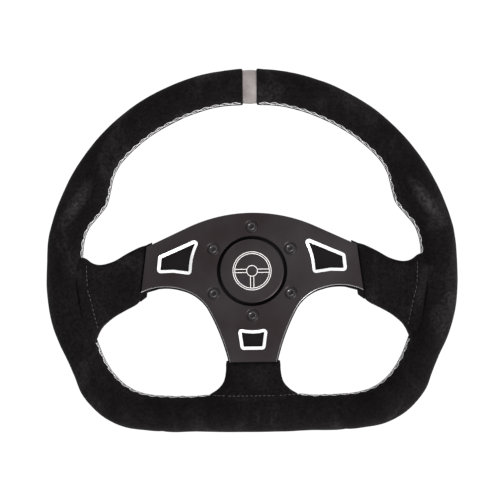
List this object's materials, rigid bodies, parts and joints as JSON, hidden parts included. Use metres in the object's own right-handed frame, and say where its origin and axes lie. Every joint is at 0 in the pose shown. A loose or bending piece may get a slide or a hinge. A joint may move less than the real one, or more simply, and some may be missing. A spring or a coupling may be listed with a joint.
{
  "type": "quick release steering wheel",
  "caption": "Flat-bottomed suede steering wheel with a three-spoke plate and a splined ball-lock quick release hub behind it.",
  "frame": {"origin": "centre of the flat stop at the bottom of the hub's splined socket, on the wheel's axis", "axes": "+Y along the wheel's axis, out of the socket towards the column (the driver looks along +Y, so the wheel's front faces -Y); +Z to the top of the wheel; +X to the driver's right"},
  "size_m": [0.3248, 0.0656, 0.2878],
  "materials": {
    "black_suede": "napped black suede",
    "grey_band": "smooth grey leather",
    "foam": "moulded foam",
    "core_metal": "bare",
    "black_anodised": "black anodised, fine satin",
    "frame_black": "matt black coat",
    "hub_metal": "black anodised, turned",
    "black_steel": "black oxide",
    "bare_steel": "ground",
    "rubber": "matt"
  },
  "bodies": {
    "wheel": {"front_plate": "black_anodised", "rear_plate": "black_anodised", "spoke_frame": "frame_black", "rim_core": "core_metal", "rim_foam": "foam", "rim_wrap": "black_suede", "top_band": "grey_band", "sleeve_left": "black_suede", "sleeve_right": "black_suede", "sleeve_bottom": "black_suede", "centre_cap": "black_anodised", "cap_o_ring": "rubber", "hub_screw_1": "black_steel", "hub_screw_2": "black_steel", "hub_screw_3": "black_steel", "hub_screw_4": "black_steel", "hub_screw_5": "black_steel", "hub_screw_6": "black_steel", "plate_screw_left": "black_steel", "plate_screw_right": "black_steel", "plate_screw_bottom": "black_steel", "hub_body": "hub_metal", "collar_spring": "bare_steel", "retaining_ring": "bare_steel"},
    "lock_collar": {"lock_collar": "hub_metal", "collar_end_ring": "bare_steel"},
    "ball_1": {"lock_ball_1": "bare_steel"},
    "ball_2": {"lock_ball_2": "bare_steel"},
    "ball_3": {"lock_ball_3": "bare_steel"},
    "ball_4": {"lock_ball_4": "bare_steel"},
    "ball_5": {"lock_ball_5": "bare_steel"},
    "ball_6": {"lock_ball_6": "bare_steel"}
  },
  "joints": [
    {"name": "collar_slide", "type": "slide", "parent": "wheel", "child": "lock_collar", "axis": [0, -1, 0], "range_m": [0, 0.008], "stiffness_N_per_m": 1500, "springref_m": -0.004, "deforming": ["collar_spring"]},
    {"name": "ball_1_slide", "type": "slide", "parent": "wheel", "child": "ball_1", "axis": [1, 0, 0], "range_m": [0, 0.00221]},
    {"name": "ball_2_slide", "type": "slide", "parent": "wheel", "child": "ball_2", "axis": [0.5, 0, 0.866], "range_m": [0, 0.00221]},
    {"name": "ball_3_slide", "type": "slide", "parent": "wheel", "child": "ball_3", "axis": [-0.5, 0, 0.866], "range_m": [0, 0.00221]},
    {"name": "ball_4_slide", "type": "slide", "parent": "wheel", "child": "ball_4", "axis": [-1, 0, 0], "range_m": [0, 0.00221]},
    {"name": "ball_5_slide", "type": "slide", "parent": "wheel", "child": "ball_5", "axis": [-0.5, 0, -0.866], "range_m": [0, 0.00221]},
    {"name": "ball_6_slide", "type": "slide", "parent": "wheel", "child": "ball_6", "axis": [0.5, 0, -0.866], "range_m": [0, 0.00221]}
  ],
  "couplings": [
    {"joint": "ball_1_slide", "follows": "collar_slide", "ratio": 0.275},
    {"joint": "ball_2_slide", "follows": "collar_slide", "ratio": 0.275},
    {"joint": "ball_3_slide", "follows": "collar_slide", "ratio": 0.275},
    {"joint": "ball_4_slide", "follows": "collar_slide", "ratio": 0.275},
    {"joint": "ball_5_slide", "follows": "collar_slide", "ratio": 0.275},
    {"joint": "ball_6_slide", "follows": "collar_slide", "ratio": 0.275}
  ]
}
